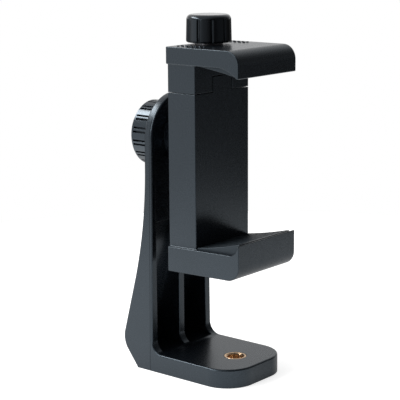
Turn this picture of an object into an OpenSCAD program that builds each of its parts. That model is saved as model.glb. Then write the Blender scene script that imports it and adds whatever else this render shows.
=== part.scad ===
// Tripod phone mount adapter: an L-shaped bracket with a brass tripod thread in its base,
// and a screw clamp for the phone that swivels on the bracket's arm.
// X runs across the object, -Y is the phone's side and +Z is up.
// The origin is on the axis of the tripod thread, at the underside of the base.

/* [Bracket] */
// Width of the base
base_w = 36.6; // [34:0.2:44]
// Thickness of the base
base_t = 7.4; // [6:0.2:10]
// Distance from the thread's axis to the front edge of the base
base_front = 13; // [12.5:0.1:20]
// Plan radius of the two front corners
corner_r = 12; // [8:0.2:12.4]
// Width of the arm at its rounded top, which is also the width of the arch
arm_w = 34.2; // [33:0.2:40]
// Thickness of the arm's plate at the swivel
arm_t = 3.8; // [2.6:0.1:4]
// Distance from the thread's axis back to the front of the arm
arm_front = 27.2; // [26:0.2:34]
// Radius where the base runs into the arm
foot_fillet_r = 5; // [3:0.5:7]
// Height of the swivel axis above the underside
pivot_h = 92.3; // [90:0.5:110]
// Distance below the swivel where the back starts to sweep out
sweep_drop = 12.3; // [10:0.5:20]
// Radius of the sweep of the back
sweep_r = 180; // [150:5:220]
// Lean of the back above the heel, in degrees
sweep_lean = 14.6; // [12:0.2:16]
// Radius of the heel at the foot of the back
heel_r = 9; // [7.5:0.5:10]
// Height of the heel's furthest point
heel_h = 12; // [11:0.5:14]
// Angle at which the heel runs in to the underside, in degrees
heel_lean = 38; // [25:1:45]
// Width of the arm's edge flanges
flange_w = 2.2; // [1.8:0.1:4]
// Width of the rib between the two pockets
rib_w = 3; // [2:0.1:4]
// Wall left behind the pockets
pocket_wall = 2.4; // [1.8:0.1:3]
// Distance below the swivel to the top of the pockets
ledge_drop = 32.8; // [30:0.2:36]
// Depth of the shallow recess around the swivel
recess_d = 0.8; // [0.4:0.1:1.2]

/* [Tripod thread] */
// Outer radius of the brass insert
insert_r = 4.5; // [4.2:0.1:5.5]
// Inner radius of the insert at the thread's crests
thread_r = 2.6; // [2:0.05:3.2]
// Countersink at the insert's upper mouth
thread_chamfer = 0.6; // [0.2:0.1:0.9]

/* [Clamp housing] */
// Width of the column
col_w = 32.4; // [31.6:0.2:34]
// Depth of the column from front to back
col_d = 13.4; // [13:0.1:15]
// Space between the column and the arm, which the swivel boss fills
swivel_gap = 7.8; // [6:0.1:9]
// Height of the column's shoulder above the swivel
shoulder_up = 18.95; // [18:0.05:22]
// Width of the tongue at the front of the column's top
tongue_w = 11.1; // [10.6:0.1:12]
// Height of the tongue above the shoulder
tongue_h = 5.9; // [4:0.1:6.4]
// Thickness of the column's walls
col_wall = 2.2; // [1.8:0.1:2.6]
// Thickness of the floor under the column's hollow
floor_t = 5; // [4:0.1:6]
// Thickness of the cover that closes the column's back
cover_t = 2.4; // [2.2:0.1:2.8]
// Distance from the column's shoulder down to the cover
cover_drop = 2; // [1.5:0.1:3]
// Distance from the swivel down to the top of the lower jaw at its back
lower_jaw_drop = 40.3; // [38:0.1:43]
// Thickness of the lower jaw at its back
lower_jaw_t = 9.7; // [8:0.1:11]
// Rise of the lower jaw toward its lip, in degrees
jaw_tilt = 1.3; // [0:0.1:2]
// Height of the lower lip above the jaw's rim
lower_lip_h = 4.2; // [3.8:0.1:5]
// Hollow radius behind the lower lip
lower_lip_hollow_r = 4.4; // [4.3:0.1:6]

/* [Jaws] */
// Width of both jaws
jaw_w = 35.3; // [34:0.1:38]
// Reach of the jaws in front of the column
jaw_reach = 21.5; // [20:0.5:26]
// How far the jaws stop short of the column's back
jaw_inset = 0.4; // [0.2:0.1:1]
// Outer radius of both lips
lip_r = 5.5; // [4.5:0.1:6]
// Height of the collar under the upper jaw
collar_h = 10.95; // [10.5:0.05:13]
// Thickness of the upper jaw
upper_jaw_t = 6.5; // [6.2:0.1:8]
// Drop of the upper lip below the jaw's underside
upper_lip_drop = 3.6; // [3:0.1:4]
// Hollow radius behind the upper lip
upper_lip_hollow_r = 13.8; // [12:0.2:16]
// Travel of the upper jaw from closed to fully open
travel = 36; // [20:1:36]
// Space under the jaw's legs when the jaws are closed
leg_gap = 0.7; // [0.4:0.1:8]
// Width of each leg
leg_w = 6.1; // [5:0.1:6.2]

/* [Pads] */
// Distance from the jaw's sides to the pads
pad_inset = 1.9; // [1.5:0.1:3]
// Height of the lower pad above the jaw's rim next to the column
lower_pad_rise = 0.6; // [0.4:0.1:1]
// Height of the upper pad below the jaw's underside next to the column
upper_pad_rise = 0.2; // [0.1:0.1:0.6]
// How far the lower pad's end stands above its lip's tip
lower_pad_proud = 0.1; // [0:0.1:0.4]
// How far the upper pad ends short of its lip's tip
upper_pad_short = 0.1; // [0.1:0.1:0.6]
// Depth of each pad's seat below the rim
pad_seat = 1.4; // [1:0.1:1.8]
// Spacing of the grooves in the pads
groove_pitch = 3.3; // [2.8:0.1:4]
// Width of the grooves
groove_w = 1.8; // [1:0.1:2.2]
// Depth of the grooves
groove_d = 0.7; // [0.4:0.1:0.8]

/* [Swivel and rear knob] */
// Radius of the swivel boss
boss_r = 9.45; // [8:0.05:11]
// Radius of the swivel bolt
bolt_r = 3; // [2.5:0.1:3.2]
// Hex size of the bolt's head and of the rear knob's nut, across flats
bolt_af = 10; // [9:0.5:10.5]
// Thickness of the bolt's head
bolt_head_t = 4; // [3:0.1:4.5]
// Thickness of the friction washer
friction_t = 0.7; // [0.5:0.1:1]
// Radius of the rear knob
rear_knob_r = 12.9; // [11:0.1:15]
// Thickness of the rear knob
rear_knob_t = 10.5; // [9.6:0.1:12]
// Number of wide lobes around the rear knob
rear_lobes = 16; // [12:1:18]
// Thickness of the steel washer under the rear knob
rear_washer_t = 1; // [0.8:0.1:1.5]

/* [Top knob and clamp screw] */
// Radius of the top knob at its foot
top_knob_r = 8.7; // [8.5:0.1:10]
// Radius of the top knob at its rounded top
top_knob_top_r = 8.5; // [7.8:0.1:8.5]
// Height of the top knob
top_knob_h = 10.5; // [9:0.1:12]
// Number of grooves around the top knob
top_grooves = 10; // [8:1:14]
// Distance from the column's front to the axis of the clamp screw
screw_in = 6.5; // [6.4:0.1:6.7]
// Radius of the clamp screw
screw_r = 2.5; // [2:0.1:2.6]
// Size of the square nut across its flats
nut_size = 8; // [7:0.1:8]
// Thickness of the square nut
nut_t = 4; // [3:0.1:4]
// Thickness of the washer under the top knob
thrust_t = 0.7; // [0.4:0.1:1.2]

/* [Hidden] */
$fn = 64;

// Clearances
slide_fit = 0.3;       // between the legs and the column's walls
run_fit = 0.06;        // between a shaft and the hole it turns in
face_fit = 0.1;        // between flat faces that turn or slide on each other
seam = 0.15;           // between the collar and the column's shoulder when closed
seat_fit = 0.05;       // round a piece that drops into its seat
overcut = 1;           // how far a cutter stands out of what it cuts
far = 100;             // reach of a cutter that runs right out of the object

// Bracket
arm_back = arm_front + arm_t;
sweep_z = pivot_h - sweep_drop;
sweep_end_y = arm_back + sweep_r * (1 - cos(sweep_lean));
sweep_end_z = sweep_z - sweep_r * sin(sweep_lean);
sweep_run = (sweep_end_z - heel_r * sin(sweep_lean) - heel_h) / cos(sweep_lean);
heel_y = sweep_end_y + sweep_run * sin(sweep_lean) - heel_r * cos(sweep_lean);
ledge_z = pivot_h - ledge_drop;
pocket_side = arm_w / 2 - flange_w;
arch_top = pivot_h + arm_w / 2;

// Column
col_back = arm_front - swivel_gap;
col_front = col_back - col_d;
shoulder_z = pivot_h + shoulder_up;
tongue_z = shoulder_z + tongue_h;
rim_z = pivot_h - lower_jaw_drop;
sole_z = rim_z - lower_jaw_t;
cavity_x = col_w / 2 - col_wall;
cavity_front = col_front + col_wall;
leg_x_in = cavity_x - slide_fit - leg_w;
cover_front = col_back - cover_t;
floor_z = sole_z + floor_t;
cover_top = shoulder_z - cover_drop;
screw_y = col_front + screw_in;

// The block in the top of the column, which holds the nut and the cover's upper screws
block_h = 10;
block_x = leg_x_in - slide_fit;
block_z = shoulder_z - block_h;
nut_drop = 0.25;
nut_z = shoulder_z - nut_drop - nut_t;
post_x = 5;
post_r = 2.2;
post_drop = 7.25;
post_rise = 10.5;
post_up = shoulder_z - post_drop;
post_down = floor_z + post_rise;
cover_screw_r = 1;
cover_head_r = 1.9;
cover_head_t = 1.2;
cover_screw_len = 7.5;

// Jaws
jaw_front = col_front - jaw_reach;
jaw_back = col_back - jaw_inset;
under_z = shoulder_z + collar_h;
top_z = under_z + upper_jaw_t;
leg_end_z = floor_z + leg_gap;
leg_groove_d = 4.5;
leg_solid = 3;
leg_front = cavity_front + slide_fit;
leg_back = cover_front - slide_fit;
rise_at_front = (jaw_back - jaw_front) * tan(jaw_tilt);
lower_lip_tip = 0.6;
upper_lip_tip = 1;
pad_stop = 1;
pad_border = 0.9;
pad_back = col_front - face_fit;
pad_front = jaw_front + pad_stop;
pad_x = jaw_w / 2 - pad_inset;
pad_len = pad_back - pad_front;
pad_sag = 0.3;

// Swivel
rear_knob_gap = 0.6;
rear_knob_cap = 2.4;
bolt_head_y = cover_front + face_fit;
bolt_seat_y = bolt_head_y + bolt_head_t;
rear_knob_back = arm_back + rear_knob_gap + rear_knob_t;
knob_face_y = arm_back + face_fit + rear_washer_t;
knob_nut_t = 5;
bolt_end_y = rear_knob_back - rear_knob_cap;

// Top knob
knob_z = top_z + thrust_t + face_fit;
top_knob_cap = 2.5;
screw_spare = 1.2;
screw_top = knob_z + top_knob_h - top_knob_cap;
screw_end = nut_z - travel - screw_spare;
thrust_r = 5.4;
ring_rise = 0.9;
ring_z = tongue_z + ring_rise;
ring_t = 0.8;
ring_r = 4.2;
ring_groove_d = 0.45;
ring_groove_r = screw_r - ring_groove_d;

// Points of an arc about [y, z], from one angle to another
function arc(y, z, r, from, to, steps = 16) =
    [for (i = [0:steps]) let (a = from + (to - from) * i / steps) [y + r * cos(a), z + r * sin(a)]];

// The swept back of the arm, moved inward by a wall, from its top down to the heel
function back_line(wall) = concat(
    [[arm_back - wall, arch_top]],
    arc(arm_back + sweep_r, sweep_z, sweep_r + wall, 180, 180 + sweep_lean, 20),
    arc(heel_y, heel_h, heel_r - wall, sweep_lean, -heel_lean, 16));

// Extrudes a side view, drawn in Y and Z, across the object
module across(width) {
    rotate([90, 0, 90])
        translate([0, 0, -width / 2])
            linear_extrude(width)
                children();
}

// Extrudes a front view, drawn in X and Z, from one depth to another
module through(from, to) {
    translate([0, to, 0])
        rotate([90, 0, 0])
            linear_extrude(to - from)
                children();
}

// A round bar or bore along Y
module rod(r, from, to, x = 0, z = 0) {
    translate([x, from, z])
        rotate([-90, 0, 0])
            cylinder(r = r, h = to - from);
}

// A hexagon along Y, with two flats level
module hex(af, from, to, z) {
    translate([0, from, z])
        rotate([-90, 0, 0])
            cylinder(r = af / 2 / cos(30), h = to - from, $fn = 6);
}

// A block given by its two corners
module block(low, high) {
    translate(low)
        cube(high - low);
}

module bracket_side() {
    foot_y = heel_y + heel_r * cos(heel_lean)
        - (heel_h - heel_r * sin(heel_lean)) * tan(heel_lean);
    polygon(concat(
        [[-base_front, 0], [-base_front, base_t]],
        arc(arm_front - foot_fillet_r, base_t + foot_fillet_r, foot_fillet_r, -90, 0, 10),
        [[arm_front, arch_top]],
        back_line(0),
        [[foot_y, 0]]));
}

module bracket_front_view() {
    polygon([
        [-base_w / 2, 0], [base_w / 2, 0], [base_w / 2, base_t],
        [arm_w / 2, pivot_h], [-arm_w / 2, pivot_h], [-base_w / 2, base_t]]);
    translate([0, pivot_h])
        circle(r = arm_w / 2);
}

module bracket_plan() {
    corner_x = base_w / 2 - corner_r;
    translate([-base_w / 2, corner_r - base_front])
        square([base_w, far]);
    translate([-corner_x, -base_front])
        square([2 * corner_x, far]);
    for (side = [-1, 1])
        translate([side * corner_x, corner_r - base_front])
            circle(r = corner_r);
}

// The hollows on both sides of the rib, whose floor follows the swept back
module bracket_pockets() {
    pocket_w = pocket_side - rib_w / 2;
    for (side = [-1, 1])
        translate([side * (rib_w + pocket_w) / 2, 0, 0])
            across(pocket_w)
                intersection() {
                    polygon(concat([[0, base_t], [0, arch_top]], back_line(pocket_wall)));
                    translate([0, base_t])
                        square([far, ledge_z - base_t]);
                }
}

module bracket() {
    color("#2b2f33")
        difference() {
            intersection() {
                across(base_w)
                    bracket_side();
                through(-base_front - overcut, far)
                    bracket_front_view();
                linear_extrude(arch_top + overcut)
                    bracket_plan();
            }
            bracket_pockets();
            through(0, arm_front + recess_d) {
                translate([0, pivot_h])
                    circle(r = pocket_side);
                translate([-pocket_side, ledge_z])
                    square([2 * pocket_side, ledge_drop]);
            }
            rod(bolt_r + run_fit, 0, far, z = pivot_h);
            translate([0, 0, -overcut])
                cylinder(r = insert_r, h = base_t + 2 * overcut);
        }
}

module tripod_insert() {
    color("#b8834a")
        rotate_extrude()
            polygon([
                [thread_r, 0], [insert_r, 0], [insert_r, base_t],
                [thread_r + thread_chamfer, base_t], [thread_r, base_t - thread_chamfer]]);
}

module lower_jaw_side() {
    front_z = sole_z + rise_at_front;
    rim_front_z = rim_z + rise_at_front;
    lip_z = rim_front_z + lower_lip_h;
    hollow_y = jaw_front + lower_lip_tip + lower_lip_hollow_r;
    polygon(concat(
        [[jaw_back, rim_z], [jaw_back, sole_z]],
        arc(jaw_front + lip_r, front_z + lip_r, lip_r, -90 - jaw_tilt, -180, 12),
        [[jaw_front, lip_z], [jaw_front + lower_lip_tip, lip_z]],
        arc(hollow_y, rim_front_z + lower_lip_hollow_r, lower_lip_hollow_r,
            180 + asin((lower_lip_hollow_r - lower_lip_h) / lower_lip_hollow_r), 270, 12)));
}

// The gripping face of a pad: slightly hollow, it rises from one height at the column
// to another at the lip, where it ends in a flat border. A groove's floor is the same
// line, sunk by its depth.
function grip_line(near, far, sink = 0) = concat(
    [[pad_front, far - sink]],
    [for (i = [0:12]) let (t = i / 12)
        [pad_front + pad_border + (pad_len - pad_border) * t,
            far + (near - far) * t - 4 * pad_sag * t * (1 - t) - sink]]);

// A rubber pad, whose rim is at height 0, with grooves that run from the column to the lip
module grip_pad(near, far) {
    count = floor((pad_x - groove_w) / groove_pitch);
    stop = pad_front + pad_border;
    difference() {
        across(2 * pad_x)
            polygon(concat([[pad_back, -pad_seat], [pad_front, -pad_seat]], grip_line(near, far)));
        for (i = [-count:count])
            translate([i * groove_pitch, 0, 0])
                across(groove_w)
                    intersection() {
                        polygon(concat(
                            [[pad_back, far], [pad_front, far]], grip_line(near, far, groove_d)));
                        translate([stop, -pad_seat])
                            square([pad_len, 2 * far]);
                    }
    }
}

module lower_pad() {
    color("#1d1f21")
        translate([0, 0, rim_z + rise_at_front / 2])
            grip_pad(lower_pad_rise, lower_lip_h + rise_at_front / 2 + lower_pad_proud);
}

module upper_pad() {
    color("#1d1f21")
        translate([0, 0, under_z])
            mirror([0, 0, 1])
                grip_pad(upper_pad_rise, upper_lip_drop - upper_pad_short);
}

// The seat that a pad drops into, opening away from the jaw
module pad_bay(z, up) {
    seat = up ? z - pad_seat - seat_fit : z - far;
    block([-pad_x - seat_fit, pad_front - seat_fit, seat],
        [pad_x + seat_fit, pad_back + face_fit, up ? z + far : z + pad_seat + seat_fit]);
}

module column_shell() {
    block([-col_w / 2, col_front, sole_z], [col_w / 2, col_back, shoulder_z]);
    block([-tongue_w / 2, col_front, shoulder_z - overcut], [tongue_w / 2, cover_front, tongue_z]);
}

// The inside of the column: two channels for the legs, and the way in for the cover
module column_cavity() {
    difference() {
        union() {
            block([-cavity_x, cavity_front, floor_z], [cavity_x, cover_front, shoulder_z + far]);
            block([-cavity_x, cover_front - overcut, floor_z], [cavity_x, col_back + overcut, cover_top]);
        }
        block([-block_x, 0, block_z], [block_x, cover_front, shoulder_z]);
        block([-tongue_w / 2, 0, block_z], [tongue_w / 2, cover_front, tongue_z + far]);
        for (x = [-post_x, post_x])
            rod(post_r, col_front, cover_front, x, post_down);
    }
}

module clamp_body() {
    half = nut_size / 2 + seat_fit;
    color("#2b2f33")
        difference() {
            union() {
                column_shell();
                across(jaw_w)
                    lower_jaw_side();
            }
            column_cavity();
            pad_bay(rim_z + rise_at_front / 2, true);
            translate([0, screw_y, block_z - overcut])
                cylinder(r = screw_r + slide_fit, h = far);
            block([-half, screw_y - half, nut_z - seat_fit], [half, col_back, nut_z + nut_t + seat_fit]);
            for (x = [-post_x, post_x], z = [post_down, post_up])
                rod(cover_screw_r, cover_front - cover_screw_len, cover_front + overcut, x, z);
        }
}

module screw_nut() {
    color("#b8834a")
        difference() {
            block([-nut_size / 2, screw_y - nut_size / 2, nut_z],
                [nut_size / 2, screw_y + nut_size / 2, nut_z + nut_t]);
            translate([0, screw_y, nut_z - overcut])
                cylinder(r = screw_r + run_fit, h = nut_t + 2 * overcut);
        }
}

module back_cover() {
    color("#2b2f33")
        difference() {
            union() {
                block([-cavity_x + seat_fit, cover_front, floor_z + seat_fit],
                    [cavity_x - seat_fit, col_back, cover_top - seat_fit]);
                rod(boss_r, cover_front, arm_front, z = pivot_h);
            }
            hex(bolt_af + 2 * seat_fit, cover_front - overcut, bolt_seat_y, pivot_h);
            rod(bolt_r + run_fit, cover_front, arm_front + overcut, z = pivot_h);
            for (x = [-post_x, post_x], z = [post_down, post_up]) {
                rod(cover_screw_r, cover_front - overcut, col_back, x, z);
                rod(cover_head_r + seat_fit, col_back - cover_head_t - face_fit, col_back + overcut, x, z);
            }
        }
}

module cover_screws() {
    head_y = col_back - cover_head_t - face_fit;
    tip_gap = 0.5;
    cross_slot = [2.2, 1.2, 0.5];
    color("#8d9296")
        for (x = [-post_x, post_x], z = [post_down, post_up]) {
            rod(cover_screw_r, cover_front - cover_screw_len + tip_gap, head_y + cover_head_t / 2, x, z);
            difference() {
                rod(cover_head_r, head_y, head_y + cover_head_t, x, z);
                for (turn = [0, 90])
                    translate([x, head_y + cover_head_t, z])
                        rotate([0, turn, 0])
                            cube(cross_slot, center = true);
            }
        }
}

module pivot_bolt() {
    color("#8d9296") {
        hex(bolt_af, bolt_head_y, bolt_seat_y, pivot_h);
        rod(bolt_r, bolt_seat_y - overcut, bolt_end_y, z = pivot_h);
    }
}

module friction_washer() {
    color("#1d1f21")
        difference() {
            rod(boss_r - slide_fit, arm_front, arm_front + friction_t, z = pivot_h);
            rod(bolt_r + run_fit, arm_front - overcut, arm_front + friction_t + overcut, z = pivot_h);
        }
}

module upper_jaw_side() {
    hollow_y = jaw_front + upper_lip_tip
        + sqrt(2 * upper_lip_hollow_r * upper_lip_drop - pow(upper_lip_drop, 2));
    hollow_z = under_z - upper_lip_hollow_r;
    lip_angle = asin((upper_lip_hollow_r - upper_lip_drop) / upper_lip_hollow_r);
    polygon(concat(
        [[jaw_back, under_z], [jaw_back, top_z]],
        arc(jaw_front + lip_r, top_z - lip_r, lip_r, 90, 180, 12),
        [[jaw_front, under_z - upper_lip_drop]],
        arc(hollow_y, hollow_z, upper_lip_hollow_r, 180 - lip_angle, 90, 12)));
}

// One of the two legs that slide in the column, with a groove down its back
module leg() {
    groove = leg_w / 3;
    difference() {
        block([leg_x_in, leg_front, leg_end_z], [leg_x_in + leg_w, leg_back, under_z]);
        block([leg_x_in + groove, leg_back - leg_groove_d, leg_end_z - overcut],
            [leg_x_in + leg_w - groove, leg_back + overcut, shoulder_z - leg_solid]);
    }
}

module upper_jaw() {
    notch = tongue_w / 2 + seam;
    color("#2b2f33")
        difference() {
            union() {
                across(jaw_w)
                    upper_jaw_side();
                block([-col_w / 2, col_front, shoulder_z + seam], [col_w / 2, col_back, under_z]);
                leg();
                mirror([1, 0, 0])
                    leg();
            }
            block([-notch, col_front - overcut, shoulder_z - overcut],
                [notch, cover_front + seam, tongue_z + seam]);
            pad_bay(under_z, false);
            translate([0, screw_y, tongue_z])
                cylinder(r = screw_r + run_fit, h = far);
            translate([0, screw_y, tongue_z])
                cylinder(r = ring_r + slide_fit, h = ring_z + ring_t + face_fit - tongue_z);
        }
}

module thrust_washer() {
    color("#8d9296")
        translate([0, screw_y, top_z])
            difference() {
                cylinder(r = thrust_r, h = thrust_t);
                translate([0, 0, -overcut])
                    cylinder(r = screw_r + run_fit, h = thrust_t + 2 * overcut);
            }
}

// The knob's outline, turned about its axis: a slight taper with a rounded top edge
module top_knob_profile() {
    edge = 1.9;
    foot = 0.4;
    polygon(concat(
        [[0, 0], [top_knob_r - foot, 0], [top_knob_r, foot]],
        arc(top_knob_top_r - edge, top_knob_h - edge, edge, 0, 90, 8),
        [[0, top_knob_h]]));
}

module top_knob() {
    groove_r = 0.55;
    groove_top = 1.6;
    first_groove = 11.4;
    lean = atan((top_knob_r - top_knob_top_r) / top_knob_h);
    color("#141516")
        translate([0, screw_y, knob_z])
            difference() {
                rotate_extrude()
                    top_knob_profile();
                for (i = [0:top_grooves - 1])
                    rotate([0, 0, first_groove + i * 360 / top_grooves])
                        translate([top_knob_r + 0.1, 0, -overcut])
                            rotate([0, -lean, 0])
                                cylinder(r = groove_r, h = top_knob_h - groove_top + overcut);
                translate([0, 0, -overcut])
                    cylinder(r = screw_r, h = screw_top - knob_z + overcut);
            }
}

module clamp_screw() {
    color("#8d9296")
        translate([0, screw_y, 0])
            difference() {
                translate([0, 0, screw_end])
                    cylinder(r = screw_r, h = screw_top - screw_end);
                translate([0, 0, ring_z])
                    difference() {
                        cylinder(r = screw_r + overcut, h = ring_t);
                        translate([0, 0, -overcut])
                            cylinder(r = ring_groove_r, h = ring_t + 2 * overcut);
                    }
            }
}

module retaining_ring() {
    mouth = 2.8;
    color("#8d9296")
        translate([0, screw_y, ring_z])
            difference() {
                cylinder(r = ring_r, h = ring_t);
                translate([0, 0, -overcut])
                    cylinder(r = ring_groove_r, h = ring_t + 2 * overcut);
                translate([-mouth / 2, 0, -overcut])
                    cube([mouth, ring_r + overcut, ring_t + 2 * overcut]);
            }
}

// The notches between the lobes: two narrow slots each, which leave a thin ridge between
// them and stop short of the knob's back
module rear_knob_notches() {
    slot_w = 0.8;
    slot_d = 0.45;
    ridge_w = 0.8;
    slot_len = rear_knob_t - 1.4;
    for (i = [0:rear_lobes - 1], side = [-1, 1])
        rotate([0, (i + 0.5) * 360 / rear_lobes, 0])
            translate([side * (slot_w + ridge_w) / 2 - slot_w / 2, -overcut, rear_knob_r - slot_d])
                cube([slot_w, slot_len + overcut, slot_d + overcut]);
}

module rear_knob() {
    rim_y = rear_knob_back - rear_knob_t;
    wall = 2.2;
    dish_d = 0.8;
    edge = 0.7;
    hub_wall = 1.6;
    rib_t = 1.2;
    rib_drop = 0.8;
    hub_r = bolt_af / 2 / cos(30) + hub_wall;
    color("#24272a")
        translate([0, 0, pivot_h])
            difference() {
                translate([0, rim_y, 0])
                    rotate([-90, 0, 0])
                        rotate_extrude()
                            polygon([[0, 0], [rear_knob_r - edge, 0], [rear_knob_r, edge],
                                [rear_knob_r, rear_knob_t - edge], [rear_knob_r - edge, rear_knob_t],
                                [0, rear_knob_t]]);
                translate([0, rim_y, 0])
                    rear_knob_notches();
                difference() {
                    rod(rear_knob_r - wall, rim_y - overcut, rear_knob_back - wall);
                    rod(hub_r, rim_y - 2 * overcut, rear_knob_back);
                    for (turn = [0:60:179])
                        rotate([0, turn, 0])
                            block([-rear_knob_r, rim_y + rib_drop, -rib_t / 2],
                                [rear_knob_r, rear_knob_back, rib_t / 2]);
                }
                rod(rear_knob_r - wall, rear_knob_back - dish_d, rear_knob_back + overcut);
                rod(hub_r, rim_y - overcut, knob_face_y);
                hex(bolt_af + 2 * seat_fit, rim_y, knob_face_y + seat_fit + knob_nut_t, 0);
                rod(bolt_r + slide_fit, rim_y, bolt_end_y + slide_fit);
            }
}

module knob_nut() {
    nut_y = knob_face_y + seat_fit;
    color("#b8834a")
        difference() {
            hex(bolt_af, nut_y, nut_y + knob_nut_t, pivot_h);
            rod(bolt_r + run_fit, nut_y - overcut, nut_y + knob_nut_t + overcut, z = pivot_h);
        }
}

module rear_washer() {
    washer_y = arm_back + face_fit;
    color("#8d9296")
        difference() {
            rod(bolt_af / 2 / cos(30) + rear_knob_gap, washer_y, washer_y + rear_washer_t, z = pivot_h);
            rod(bolt_r + run_fit, washer_y - overcut, washer_y + rear_washer_t + overcut, z = pivot_h);
        }
}

bracket();
tripod_insert();
clamp_body();
back_cover();
cover_screws();
pivot_bolt();
friction_washer();
lower_pad();
screw_nut();
upper_jaw();
upper_pad();
thrust_washer();
top_knob();
clamp_screw();
retaining_ring();
rear_knob();
knob_nut();
rear_washer();
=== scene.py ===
"""The looks of a tripod phone mount adapter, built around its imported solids.

Lengths are in metres, -Y is the phone's side and +Z is up.
"""

import math

import bpy
from mathutils import Matrix, Vector


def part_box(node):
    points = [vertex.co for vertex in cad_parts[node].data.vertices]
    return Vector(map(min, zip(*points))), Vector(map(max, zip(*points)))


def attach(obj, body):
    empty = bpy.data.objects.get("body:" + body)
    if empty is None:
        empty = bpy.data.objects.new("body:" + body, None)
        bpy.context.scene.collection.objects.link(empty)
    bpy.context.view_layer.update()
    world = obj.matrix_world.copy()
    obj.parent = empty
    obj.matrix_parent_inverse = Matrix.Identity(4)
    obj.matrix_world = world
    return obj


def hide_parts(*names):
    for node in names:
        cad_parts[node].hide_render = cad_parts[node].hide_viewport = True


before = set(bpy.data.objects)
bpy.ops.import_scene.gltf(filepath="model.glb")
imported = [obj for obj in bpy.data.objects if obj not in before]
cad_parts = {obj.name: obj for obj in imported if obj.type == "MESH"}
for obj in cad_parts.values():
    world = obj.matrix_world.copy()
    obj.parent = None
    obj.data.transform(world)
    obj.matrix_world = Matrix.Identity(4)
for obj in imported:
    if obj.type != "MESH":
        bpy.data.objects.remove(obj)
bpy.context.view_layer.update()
bpy.ops.object.select_all(action="DESELECT")
MM = 0.001

# Camera. It stands to the left of the phone's side and a little above the adapter,
# at the photograph's own distance, so the jaws open toward the lower right.
VIEW_YAW = math.radians(-50.22)
VIEW_PITCH = math.radians(11.8)
VIEW_ROLL = math.radians(-0.39)
VIEW_TARGET = Vector((0, 17.41, 67.5)) * MM
VIEW_DISTANCE = 529.54 * MM
SENSOR = 36
PHOTO_WIDTH = 400
FOCAL_PIXELS = 1353.48
NEAREST_SEEN = 10 * MM

ahead = Vector((-math.sin(VIEW_YAW) * math.cos(VIEW_PITCH),
                math.cos(VIEW_YAW) * math.cos(VIEW_PITCH),
                -math.sin(VIEW_PITCH)))
level = Vector((math.cos(VIEW_YAW), math.sin(VIEW_YAW), 0))
upright = level.cross(ahead)
right = level * math.cos(VIEW_ROLL) + upright * math.sin(VIEW_ROLL)
up = upright * math.cos(VIEW_ROLL) - level * math.sin(VIEW_ROLL)
turned = Matrix((right, up, -ahead)).transposed().to_4x4()
bpy.ops.object.camera_add()
camera = bpy.context.active_object
camera.matrix_world = Matrix.Translation(VIEW_TARGET - ahead * VIEW_DISTANCE) @ turned
camera.data.sensor_width = SENSOR
camera.data.lens = SENSOR * FOCAL_PIXELS / PHOTO_WIDTH
camera.data.clip_start = NEAREST_SEEN
bpy.context.scene.camera = camera
bpy.context.scene.view_settings.view_transform = "Standard"


# Satin plastic of the bracket, the clamp and the rear knob: glass-filled nylon, dark
# blue-grey, moulded in a tool with a fine spark-eroded texture, so it has a dull sheen.
PLASTIC_COLOUR = (0.004, 0.0055, 0.008)
SATIN_SPECULAR = 0.7
BLUE_SHEEN = (0.7, 0.86, 1, 1)
CLOUDS_PER_METRE = 90
CLOUD_TONES = (0.88, 1.12)
CLOUD_SPAN = (0.3, 0.7)
GRAIN_SPAN = (0.35, 0.65)


def feed(tree, socket, given):
    """Links a socket to the one that is given, or sets it to the value that is given."""
    if isinstance(given, bpy.types.NodeSocket):
        tree.links.new(given, socket)
    else:
        socket.default_value = given


def remap(tree, value, span, result, interpolation="SMOOTHSTEP"):
    """Turns a value's span into the two ends of a result, and holds it between them."""
    node = tree.nodes.new("ShaderNodeMapRange")
    node.interpolation_type = interpolation
    for end, given in zip(("Value", "From Min", "From Max", "To Min", "To Max"),
                          (value, *span, *result)):
        feed(tree, node.inputs[end], given)
    return node.outputs["Result"]


def grain_group():
    """A group that gives a finish its fine grain, with uneven colour and gloss."""
    group = bpy.data.node_groups.new("mould_grain", "ShaderNodeTree")
    for way, name, kind in [("INPUT", "Colour", "Color"),
                            ("INPUT", "Grains per metre", "Float"),
                            ("INPUT", "Gloss low", "Float"),
                            ("INPUT", "Gloss high", "Float"),
                            ("OUTPUT", "Colour", "Color"),
                            ("OUTPUT", "Roughness", "Float"),
                            ("OUTPUT", "Height", "Float")]:
        group.interface.new_socket(name, in_out=way, socket_type="NodeSocket" + kind)
    nodes = group.nodes
    link = group.links.new
    given = nodes.new("NodeGroupInput")
    result = nodes.new("NodeGroupOutput")
    place = nodes.new("ShaderNodeTexCoord")
    grain = nodes.new("ShaderNodeTexNoise")
    grain.inputs["Detail"].default_value = 3
    grain.inputs["Roughness"].default_value = 0.6
    link(place.outputs["Object"], grain.inputs["Vector"])
    link(given.outputs["Grains per metre"], grain.inputs["Scale"])
    cloud = nodes.new("ShaderNodeTexNoise")
    cloud.inputs["Scale"].default_value = CLOUDS_PER_METRE
    cloud.inputs["Detail"].default_value = 4
    link(place.outputs["Object"], cloud.inputs["Vector"])
    tint = nodes.new("ShaderNodeVectorMath")
    tint.operation = "SCALE"
    link(given.outputs["Colour"], tint.inputs[0])
    link(remap(group, cloud.outputs["Fac"], CLOUD_SPAN, CLOUD_TONES, "LINEAR"),
         tint.inputs["Scale"])
    link(tint.outputs["Vector"], result.inputs["Colour"])
    gloss = (given.outputs["Gloss low"], given.outputs["Gloss high"])
    link(remap(group, grain.outputs["Fac"], GRAIN_SPAN, gloss, "LINEAR"),
         result.inputs["Roughness"])
    link(grain.outputs["Fac"], result.inputs["Height"])
    return group


GRAIN = grain_group()


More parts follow.
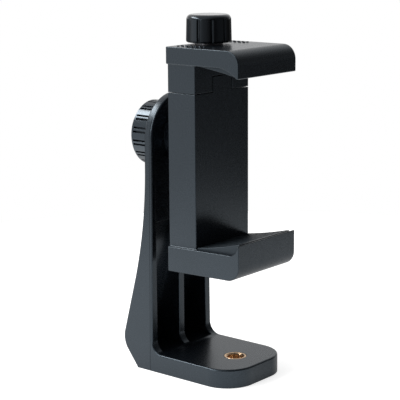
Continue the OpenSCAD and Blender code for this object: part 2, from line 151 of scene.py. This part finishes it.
def finish_of(name, colour, grains, gloss, depth, metal=0.0, specular=0.5):
    """A material with a grained surface. Depth is the height of its grain, in metres."""
    material = bpy.data.materials.new(name)
    material.use_nodes = True
    nodes = material.node_tree.nodes
    link = material.node_tree.links.new
    shader = nodes["Principled BSDF"]
    shader.inputs["Metallic"].default_value = metal
    shader.inputs["Specular IOR Level"].default_value = specular
    if not metal:
        shader.inputs["Specular Tint"].default_value = BLUE_SHEEN
    grain = nodes.new("ShaderNodeGroup")
    grain.node_tree = GRAIN
    grain.inputs["Colour"].default_value = (*colour, 1)
    grain.inputs["Grains per metre"].default_value = grains
    grain.inputs["Gloss low"].default_value = gloss[0]
    grain.inputs["Gloss high"].default_value = gloss[1]
    bump = nodes.new("ShaderNodeBump")
    bump.inputs["Distance"].default_value = depth
    link(grain.outputs["Colour"], shader.inputs["Base Color"])
    link(grain.outputs["Roughness"], shader.inputs["Roughness"])
    link(grain.outputs["Height"], bump.inputs["Height"])
    link(bump.outputs["Normal"], shader.inputs["Normal"])
    return material


satin_plastic = finish_of("satin_plastic", PLASTIC_COLOUR, 3200, (0.22, 0.34), 0.003 * MM,
                          specular=SATIN_SPECULAR)


# Bracket: one moulding of that plastic, with a base that the tripod screws into and an
# arm with a rounded top and two hollows in front. Its outer edges are rounded by 0.7 mm,
# and a fine line runs round it where the halves of the tool met.
WELD = 0.002 * MM
FLAT_ANGLE = math.radians(0.6)
SHARP_ANGLE = math.radians(28)
SMOOTH_ANGLE = math.radians(32)
FLAT_FACE_WEIGHT = 100


def soften(node, name, radius_at, steps=3, reshape=None):
    """A copy of a solid whose edges are rounded by the radius that radius_at gives there."""
    piece = bpy.data.objects.new(name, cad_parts[node].data.copy())
    bpy.context.scene.collection.objects.link(piece)
    bpy.ops.object.select_all(action="DESELECT")
    bpy.context.view_layer.objects.active = piece
    piece.select_set(True)
    bpy.ops.object.mode_set(mode="EDIT")
    bpy.ops.mesh.select_all(action="SELECT")
    bpy.ops.mesh.remove_doubles(threshold=WELD)
    bpy.ops.mesh.dissolve_limited(angle_limit=FLAT_ANGLE)
    bpy.ops.mesh.select_mode(type="EDGE")
    bpy.ops.mesh.select_all(action="DESELECT")
    bpy.ops.mesh.edges_select_sharp(sharpness=SHARP_ANGLE)
    bpy.ops.object.mode_set(mode="OBJECT")
    mesh = piece.data
    if reshape:
        reshape(mesh)
    weights = mesh.attributes.new("bevel_weight_edge", "FLOAT", "EDGE")
    widest = 0
    for edge in mesh.edges:
        if edge.select:
            start, end = (mesh.vertices[v].co for v in edge.vertices)
            radius = radius_at((start + end) / 2, (end - start).normalized())
            weights.data[edge.index].value = radius
            widest = max(widest, radius)
    for weight in weights.data:
        weight.value /= widest
    rounding = piece.modifiers.new("soft_edges", "BEVEL")
    rounding.limit_method = "WEIGHT"
    rounding.width = widest
    rounding.segments = steps
    rounding.use_clamp_overlap = False
    bpy.ops.object.modifier_apply(modifier="soft_edges")
    bpy.ops.object.shade_smooth_by_angle(angle=SMOOTH_ANGLE)
    flat = piece.modifiers.new("flat_faces", "WEIGHTED_NORMAL")
    flat.weight = FLAT_FACE_WEIGHT
    flat.keep_sharp = True
    bpy.ops.object.modifier_apply(modifier="flat_faces")
    return piece


def give(piece, material, body, slot, *nodes):
    """Gives a piece its finish and its body, and the solids that it stands for."""
    piece.data.materials.clear()
    piece.data.materials.append(material)
    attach(piece, body)
    if nodes:
        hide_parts(*nodes)


def reckon(tree, operation, *values):
    """Works out numbers or the values of sockets, in a Math node."""
    node = tree.nodes.new("ShaderNodeMath")
    node.operation = operation
    for socket, given in zip(node.inputs, values):
        feed(tree, socket, given)
    return node.outputs["Value"]


bolt_low, bolt_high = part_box("pivot_bolt")
bracket_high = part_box("bracket")[1]
seat_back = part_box("rear_washer")[0].y
pivot_z = (bolt_low.z + bolt_high.z) / 2
arm_half = bracket_high.z - pivot_z
FLANGE = 2.2 * MM
FLANGE_SPARE = 0.3 * MM
INSERT_REACH = 7 * MM
BOLT_HOLE_REACH = 5 * MM
BASE_TOP = 7.5 * MM
HOLLOWS_FRONT = 22 * MM
HOLLOWS_DEEP = 29 * MM
KNOB_SEAT_LOW = 60 * MM
KNOB_SEAT_DEPTH = 0.4 * MM
UNDERSIDE = 0.1 * MM
OUTER_EDGE = 0.7 * MM
UNDERSIDE_EDGE = 0.12 * MM
KNOB_SEAT_EDGE = 0.8 * MM
HOLLOW_EDGE = 0.3 * MM
DEEP_EDGE = 0.1 * MM
BOLT_HOLE_EDGE = 0.2 * MM
PARTING_Y = 28.3 * MM
PARTING_HALF = 0.12 * MM
PARTING_DULLER = 0.5


def bracket_radius(place, along):
    from_pivot = math.hypot(place.x, place.z - pivot_z)
    reach = from_pivot if place.z > pivot_z else abs(place.x)
    within_flange = reach < arm_half - FLANGE + FLANGE_SPARE
    if math.hypot(place.x, place.y) < INSERT_REACH:
        return 0
    if from_pivot < BOLT_HOLE_REACH:
        return BOLT_HOLE_EDGE
    if within_flange and place.y > HOLLOWS_FRONT and place.z > BASE_TOP:
        if place.y > seat_back - KNOB_SEAT_DEPTH and place.z > KNOB_SEAT_LOW:
            return KNOB_SEAT_EDGE
        return DEEP_EDGE if place.y > HOLLOWS_DEEP else HOLLOW_EDGE
    return UNDERSIDE_EDGE if place.z < UNDERSIDE else OUTER_EDGE


bracket = soften("bracket", "moulded_bracket", bracket_radius)
bracket_plastic = satin_plastic.copy()
bracket_plastic.name = "bracket_plastic"
tree = bracket_plastic.node_tree
place = tree.nodes.new("ShaderNodeTexCoord")
along_axes = tree.nodes.new("ShaderNodeSeparateXYZ")
tree.links.new(place.outputs["Object"], along_axes.inputs["Vector"])
parting = reckon(tree, "COMPARE", along_axes.outputs["Y"], PARTING_Y, PARTING_HALF)
feed(tree, tree.nodes["Principled BSDF"].inputs["Specular IOR Level"],
     reckon(tree, "MULTIPLY_ADD", parting, -PARTING_DULLER, SATIN_SPECULAR))
give(bracket, bracket_plastic, "bracket", "moulded_plastic", "bracket")

# Threaded insert: a turned brass bush pressed into the base, flush with its top, with a
# quarter-inch thread of twenty turns to the inch cut through it.
brass = finish_of("turned_brass", (0.72, 0.5, 0.31), 2500, (0.2, 0.34), 0.004 * MM, metal=1)
THREAD_PITCH = 1.27 * MM
ROOT_SHARE = 0.46
CREST_SHARE = 0.06
THREAD_STEPS = 36
ROOT_SINK = 0.1 * MM


def wind_thread(name, root, crest, pitch, low, high):
    """A closed ridge wound round the Z axis, from its root radius to its crest."""
    bpy.ops.mesh.primitive_plane_add(size=2)
    ridge = bpy.context.active_object
    ridge.name = name
    for corner in ridge.data.vertices:
        at_root = corner.co.x < 0
        half = pitch * (ROOT_SHARE if at_root else CREST_SHARE)
        corner.co = ((root if at_root else crest), 0, low + math.copysign(half, corner.co.y))
    bpy.ops.object.mode_set(mode="EDIT")
    bpy.ops.mesh.select_all(action="SELECT")
    bpy.ops.mesh.delete(type="ONLY_FACE")
    bpy.ops.object.mode_set(mode="OBJECT")
    winding = ridge.modifiers.new("winding", "SCREW")
    winding.angle = math.tau
    winding.screw_offset = pitch
    winding.iterations = int((high - low) / pitch)
    winding.steps = THREAD_STEPS
    winding.render_steps = THREAD_STEPS
    bpy.ops.object.modifier_apply(modifier="winding")
    bpy.ops.object.mode_set(mode="EDIT")
    bpy.ops.mesh.select_all(action="SELECT")
    bpy.ops.mesh.fill_holes(sides=4)
    bpy.ops.mesh.select_all(action="SELECT")
    bpy.ops.mesh.normals_make_consistent(inside=False)
    bpy.ops.object.mode_set(mode="OBJECT")
    return ridge


def turn(name, outline, steps=72):
    """A ring or a bar turned from a closed outline of [radius, height] points."""
    bpy.ops.mesh.primitive_circle_add(vertices=len(outline), radius=1)
    piece = bpy.context.active_object
    piece.name = name
    for corner, (radius, height) in zip(piece.data.vertices, outline):
        corner.co = (radius, 0, height)
    bpy.ops.object.mode_set(mode="EDIT")
    bpy.ops.mesh.select_all(action="SELECT")
    bpy.ops.mesh.spin(steps=steps, angle=math.tau, center=(0, 0, 0), axis=(0, 0, 1))
    bpy.ops.mesh.select_all(action="SELECT")
    bpy.ops.mesh.remove_doubles(threshold=0.001 * MM)
    bpy.ops.mesh.normals_make_consistent(inside=False)
    bpy.ops.object.mode_set(mode="OBJECT")
    bpy.ops.object.shade_smooth_by_angle(angle=math.radians(30))
    return piece


def join(name, *pieces):
    """Joins pieces that are one body of metal or plastic."""
    bpy.ops.object.select_all(action="DESELECT")
    for piece in pieces:
        piece.select_set(True)
    bpy.context.view_layer.objects.active = pieces[0]
    bpy.ops.object.join()
    pieces[0].name = name
    return pieces[0]


insert_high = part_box("tripod_insert")[1]
rim = insert_high.x
top = insert_high.z
RIM_CHAMFER = 0.25 * MM
MOUTH_CHAMFER = 0.5 * MM
BORE = 3.2 * MM
THREAD_CREST = 2.62 * MM
THREAD_FROM_UNDERSIDE = 0.75 * MM
THREAD_FROM_TOP = 0.6 * MM
bush = turn("insert_bush", [
    (BORE, MOUTH_CHAMFER), (BORE + MOUTH_CHAMFER, 0),
    (rim - RIM_CHAMFER, 0), (rim, RIM_CHAMFER),
    (rim, top - RIM_CHAMFER), (rim - RIM_CHAMFER, top),
    (BORE + MOUTH_CHAMFER, top), (BORE, top - MOUTH_CHAMFER)])
ridge = wind_thread("insert_thread", BORE + ROOT_SINK, THREAD_CREST, THREAD_PITCH,
                    THREAD_FROM_UNDERSIDE, top - THREAD_FROM_TOP)
insert = join("threaded_insert", bush, ridge)
give(insert, brass, "bracket", "brass", "tripod_insert")


# Clamp housing: one moulding with the column, the lower jaw and the tongue on top that
# guides the sliding jaw. Its back is closed by a cover with the swivel boss.
housing_low, housing_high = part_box("clamp_body")
TONGUE_HEIGHT = 5.9 * MM
TONGUE_SIDES = 5.5 * MM
CLOSE = 0.3 * MM
shoulder_z = housing_high.z - TONGUE_HEIGHT
LIP = 1.2 * MM
WALL = 2.3 * MM
HOLLOW_FRONT = 8 * MM
CLAMP_EDGE = 0.35 * MM
LIP_EDGE = 0.2 * MM
SEAM_EDGE = 0.15 * MM
GUIDE_EDGE = 0.08 * MM
COVER_EDGE = 0.25 * MM


def column_radius(place, along):
    inside = abs(place.x) < housing_high.x - WALL and place.y > HOLLOW_FRONT
    if inside or place.z > housing_high.z - TONGUE_SIDES:
        return GUIDE_EDGE
    if place.y < housing_low.y + LIP and abs(along.x) > 0.5:
        return LIP_EDGE
    return SEAM_EDGE if place.z > shoulder_z - CLOSE else CLAMP_EDGE


housing = soften("clamp_body", "column_and_lower_jaw", column_radius)
give(housing, satin_plastic, "clamp", "moulded_plastic", "clamp_body")
cover = soften("back_cover", "back_cover_with_boss", lambda place, along: COVER_EDGE, steps=2)
give(cover, satin_plastic, "clamp", "moulded_plastic", "back_cover")


# Upper jaw: one moulding with the lip, the collar and two legs that run down inside the
# column. The collar keeps a fine seam from the column and its tongue, and the jaw's top
# carries two patches of small square studs, left and right of the knob, for the fingers.
jaw_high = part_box("upper_jaw")[1]
TONGUE_HALF = 5.6 * MM
TONGUE_REACH = 6.2 * MM
TONGUE_SPARE = 0.5 * MM
COLLAR_FOOT = 1 * MM
SEAM = 0.1 * MM
TONGUE_TOP_SEAM = 2 * SEAM
TONGUE_SIDE_SEAM = 2.4 * SEAM
above_tongue = housing_high.z + TONGUE_SPARE


def jaw_radius(place, along):
    if place.z < above_tongue and abs(place.x) < 0.5 * jaw_high.x:
        return GUIDE_EDGE
    return SEAM_EDGE if place.z < shoulder_z + COLLAR_FOOT else CLAMP_EDGE


def widen_seam(mesh):
    """Sets the collar back from the column's shoulder and from the tongue."""
    for corner in mesh.vertices:
        place = corner.co
        if abs(place.z - shoulder_z) < CLOSE:
            place.z += SEAM
        if abs(place.z - housing_high.z) < CLOSE and abs(place.x) < TONGUE_REACH:
            place.z += TONGUE_TOP_SEAM
        if abs(abs(place.x) - TONGUE_HALF) < CLOSE and place.z < above_tongue:
            place.x += math.copysign(TONGUE_SIDE_SEAM, place.x)


jaw = soften("upper_jaw", "upper_jaw_with_collar", jaw_radius, reshape=widen_seam)
give(jaw, satin_plastic, "upper_jaw", "moulded_plastic", "upper_jaw")

STUD = 0.8 * MM
STUD_HEIGHT = 0.35 * MM
STUD_FOOT = 0.2 * MM
STUD_BEVEL = 0.16 * MM
STUD_PITCH = 2.17 * MM
STUD_ROWS = 6
OUTER_STUDS = 14.1 * MM
FRONT_STUDS = 4.9 * MM
stud_z = jaw_high.z + (STUD_HEIGHT - STUD_FOOT) / 2
bpy.ops.mesh.primitive_cube_add(size=1)
stud = bpy.context.active_object
stud.name = "stud"
stud.scale = (STUD, STUD, STUD_HEIGHT + STUD_FOOT)
bpy.ops.object.transform_apply(location=False, rotation=False, scale=True)
bpy.ops.object.mode_set(mode="EDIT")
bpy.ops.mesh.select_all(action="SELECT")
bpy.ops.mesh.bevel(offset=STUD_BEVEL, segments=2)
bpy.ops.object.mode_set(mode="OBJECT")
studs = []
for row in range(STUD_ROWS):
    y = FRONT_STUDS + row * STUD_PITCH
    for x in (OUTER_STUDS, OUTER_STUDS - STUD_PITCH, STUD_PITCH - OUTER_STUDS, -OUTER_STUDS):
        copy = stud.copy()
        copy.data = stud.data.copy()
        bpy.context.scene.collection.objects.link(copy)
        copy.data.transform(Matrix.Translation((x, y, stud_z)))
        studs.append(copy)
bpy.data.objects.remove(stud)
patch = join("thumb_studs", *studs)
give(patch, satin_plastic, "upper_jaw", "moulded_plastic")

# Pads: two moulded rubber blocks that drop into seats in the jaws. Each face is slightly
# hollow, rises toward the lip, and has grooves that run from the column to the lip.
PAD_END = 0.1 * MM
PAD_END_EDGE = 0.3 * MM
PAD_EDGE = 0.12 * MM
pad_rubber = finish_of("pad_rubber", (0.01, 0.0135, 0.017), 2600, (0.34, 0.48), 0.006 * MM)
for node, name, body in [("lower_pad", "lower_grip_pad", "clamp"),
                         ("upper_pad", "upper_grip_pad", "upper_jaw")]:
    pad_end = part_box(node)[1].x - PAD_END
    pad = soften(node, name, lambda place, along: (
        PAD_END_EDGE if abs(place.x) > pad_end else PAD_EDGE))
    give(pad, pad_rubber, body, "rubber", node)

# Top knob: a small glossy knob pressed on the clamp screw, with broad rounded lobes
# between narrow grooves, and a domed edge.
KNOB_EDGE = 0.3 * MM
gloss_black = finish_of("gloss_black", (0.006, 0.006, 0.007), 300, (0.1, 0.16), 0.004 * MM)
top_knob = soften("top_knob", "top_clamp_knob", lambda place, along: KNOB_EDGE)
give(top_knob, gloss_black, "top_knob", "gloss_knob", "top_knob")

# Rear knob: a satin knob with a nut pressed into its hub, with broad flats around its rim
# and a thin ridge between two slots at each corner. The slots carry a painted shade: their
# sheen is dimmed.
SLOT = 0.45 * MM
SLOT_SPARE = 0.1 * MM
DEEPER = 0.55 * MM
SLOT_EDGE = 0.06 * MM
SLOT_SHADE_REACH = 1.5 * MM
PAINTED_SHADE_OCCLUSION = (0.45, 0.72)
SLOT_TO_RIM_SPECULAR = (0.05, 0.85)
knob_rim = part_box("rear_knob")[1].x
knob_plastic = finish_of("knob_plastic", PLASTIC_COLOUR, 3000, (0.14, 0.24), 0.002 * MM,
                         specular=0.9)
tree = knob_plastic.node_tree
# Painted shade: ambient occlusion lowers the specular level inside the slots.
slot_shade_occlusion = tree.nodes.new("ShaderNodeAmbientOcclusion")
slot_shade_occlusion.samples = 8
slot_shade_occlusion.inputs["Distance"].default_value = SLOT_SHADE_REACH
feed(tree, tree.nodes["Principled BSDF"].inputs["Specular IOR Level"],
     remap(tree, slot_shade_occlusion.outputs["AO"], PAINTED_SHADE_OCCLUSION, SLOT_TO_RIM_SPECULAR, "LINEAR"))


def deepen_slots(mesh):
    """Sinks the floors of the slots, which are shallower in the solid."""
    for corner in mesh.vertices:
        out = Vector((corner.co.x, 0, corner.co.z - pivot_z))
        sunk = knob_rim - out.length
        if SLOT - SLOT_SPARE < sunk < SLOT + SLOT_SPARE:
            corner.co -= out.normalized() * DEEPER


rear_knob = soften("rear_knob", "rear_clamp_knob", lambda place, along: SLOT_EDGE, steps=2,
                   reshape=deepen_slots)
give(rear_knob, knob_plastic, "rear_knob", "satin_knob", "rear_knob")

# Clamp screw: zinc-plated steel with a coarse rolled thread below its retaining ring and
# a plain shank above it, where it passes through the jaw into the knob.
SCREW_PITCH = 2.5 * MM
SCREW_TIP = 0.5 * MM
THREAD_DEPTH = 0.5 * MM
NECK_DEPTH = 0.45 * MM
THREAD_END = 1.5 * MM
THREAD_RUNOUT = 0.5 * MM
zinc = finish_of("zinc_plate", (0.52, 0.53, 0.55), 1800, (0.22, 0.4), 0.003 * MM, metal=1)
screw_low, screw_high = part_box("clamp_screw")
ring_low, ring_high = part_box("retaining_ring")
screw_r = screw_high.x
screw_y = (screw_low.y + screw_high.y) / 2
core_r = screw_r - THREAD_DEPTH
neck_r = screw_r - NECK_DEPTH
shaft = turn("screw_shaft", [
    (0, screw_low.z), (core_r - SCREW_TIP, screw_low.z), (core_r, screw_low.z + SCREW_TIP),
    (core_r, ring_low.z - THREAD_END - THREAD_RUNOUT), (screw_r, ring_low.z - THREAD_END),
    (screw_r, ring_low.z),
    (neck_r, ring_low.z), (neck_r, ring_high.z), (screw_r, ring_high.z),
    (screw_r, screw_high.z), (0, screw_high.z)], steps=40)
ridge = wind_thread("screw_ridge", core_r - ROOT_SINK, screw_r, SCREW_PITCH,
                    screw_low.z + THREAD_END, ring_low.z - THREAD_END)
screw = join("clamp_screw_with_thread", shaft, ridge)
screw.data.transform(Matrix.Translation((0, screw_y, 0)))
give(screw, zinc, "top_knob", "steel", "clamp_screw")

# Small metal and rubber pieces, which keep the solids' own shape: the swivel bolt, its
# washers and nut, the screws of the cover, the ring and washer under the top knob.
oiled_steel = finish_of("oiled_steel", (0.16, 0.16, 0.17), 1800, (0.35, 0.5), 0.003 * MM,
                        metal=1)
for node, material in [
        ("cover_screws", zinc), ("pivot_bolt", zinc), ("rear_washer", zinc),
        ("thrust_washer", oiled_steel), ("retaining_ring", zinc), ("screw_nut", brass),
        ("knob_nut", brass), ("friction_washer", pad_rubber)]:
    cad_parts[node].data.materials.clear()
    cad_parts[node].data.materials.append(material)

# Floor: a round sheet of plain white paper. The camera sees it white with the adapter's
# shadow on it. In glossy rays it glows as a painted reflection: bright on the left, dim on
# the right as a painted shadow of the adapter, and pale far out.
FLOOR_R = 0.3
FLOOR_Z = -0.02 * MM
PAPER = (0.8, 0.8, 0.8, 1)
WHITE = (1, 1, 1, 1)
SEEN_GLOW = 0.7
LEFT_TO_RIGHT = (-0.05, 0.04)
GLOW_WITH_PAINTED_SHADOW = (0.68, 0.1)
OUTWARD = (0.13, 0.2)
OUTWARD_GLOW = (0, 0.24)
bpy.ops.mesh.primitive_circle_add(vertices=96, radius=FLOOR_R, fill_type="TRIFAN",
                                  location=(0, 0, FLOOR_Z))
floor = bpy.context.active_object
floor.name = "floor"
paper = bpy.data.materials.new("white_paper")
paper.use_nodes = True
tree = paper.node_tree
shader = tree.nodes["Principled BSDF"]
shader.inputs["Base Color"].default_value = PAPER
shader.inputs["Roughness"].default_value = 0.9
shader.inputs["Emission Color"].default_value = WHITE
ray = tree.nodes.new("ShaderNodeLightPath")
place = tree.nodes.new("ShaderNodeTexCoord")
along_axes = tree.nodes.new("ShaderNodeSeparateXYZ")
tree.links.new(place.outputs["Object"], along_axes.inputs["Vector"])
apart = tree.nodes.new("ShaderNodeVectorMath")
apart.operation = "LENGTH"
tree.links.new(place.outputs["Object"], apart.inputs[0])
# Painted light: the floor's glow in glossy rays fades from left to right as a painted shadow
# of the adapter, and rises far out.
glossy_glow_painted_shadow = remap(tree, along_axes.outputs["X"], LEFT_TO_RIGHT, GLOW_WITH_PAINTED_SHADOW)
far_glow = remap(tree, apart.outputs["Value"], OUTWARD, OUTWARD_GLOW)
painted_reflection_glow = reckon(tree, "MULTIPLY", ray.outputs["Is Glossy Ray"],
                  reckon(tree, "MAXIMUM", glossy_glow_painted_shadow, far_glow))
feed(tree, shader.inputs["Emission Strength"],
     reckon(tree, "MULTIPLY_ADD", ray.outputs["Is Camera Ray"], SEEN_GLOW, painted_reflection_glow))
floor.data.materials.append(paper)

# Light: a white room that is dark in front of the phone's side and low down at the far
# right, dimmer high up and on the near left, which leaves the faces toward the phone
# nearly black. A soft lamp on the left and a long one high at the back light its edges.
DARK_SIDE = (0.25, -0.97, 0)
FAR_RIGHT = (0.77, 0.64, 0)
FRONT_SIDE = (-0.77, -0.64, 0)
DARKEST = 0.135
LOW_RIGHT_LOSS = 0.85
CEILING = 0.7
NEAR_LEFT = 0.34
world = bpy.data.worlds.new("studio")
bpy.context.scene.world = world
world.use_nodes = True
tree = world.node_tree
way = tree.nodes.new("ShaderNodeTexCoord").outputs["Generated"]
height = tree.nodes.new("ShaderNodeSeparateXYZ")
tree.links.new(way, height.inputs["Vector"])
ray = tree.nodes.new("ShaderNodeLightPath")


def toward(side):
    """How far each way out of the scene points to a side, from -1 to 1."""
    node = tree.nodes.new("ShaderNodeVectorMath")
    node.operation = "DOT_PRODUCT"
    tree.links.new(way, node.inputs[0])
    node.inputs[1].default_value = side
    return node.outputs["Value"]


room = remap(tree, toward(DARK_SIDE), (-0.15, 0.7), (1, DARKEST))
right_side = remap(tree, toward(FAR_RIGHT), (0, 0.5), (0, 1))
low_down = remap(tree, height.outputs["Z"], (-0.05, 0.06), (LOW_RIGHT_LOSS, 0))
left_over = reckon(tree, "SUBTRACT", 1, reckon(tree, "MULTIPLY", right_side, low_down))
high_up = remap(tree, height.outputs["Z"], (0.12, 0.3), (1, CEILING), "LINEAR")
near_left = remap(tree, toward(FRONT_SIDE), (0.55, 0.9), (1, NEAR_LEFT))
dimmed = reckon(tree, "MULTIPLY", reckon(tree, "MULTIPLY", room, left_over),
                reckon(tree, "MULTIPLY", high_up, near_left))
strength = tree.nodes.new("ShaderNodeMix")
for end, given in (("Factor", ray.outputs["Is Camera Ray"]), ("A", dimmed), ("B", 1)):
    feed(tree, strength.inputs[end], given)
backdrop = tree.nodes["Background"]
backdrop.inputs["Color"].default_value = WHITE
tree.links.new(strength.outputs["Result"], backdrop.inputs["Strength"])


def soft_lamp(name, place, width, height, watts):
    """An oblong lamp that faces the middle of the adapter."""
    aim = VIEW_TARGET - Vector(place)
    bpy.ops.object.light_add(type="AREA", location=place,
                             rotation=aim.to_track_quat("-Z", "Y").to_euler())
    lamp = bpy.context.active_object
    lamp.name = name
    lamp.data.shape = "RECTANGLE"
    lamp.data.size = width
    lamp.data.size_y = height
    lamp.data.energy = watts


soft_lamp("left_lamp", (-1.1, 0.35, 0.55), width=0.5, height=0.5, watts=4)
soft_lamp("back_lamp", (-0.4, 0.72, 0.88), width=1.0, height=0.25, watts=8)
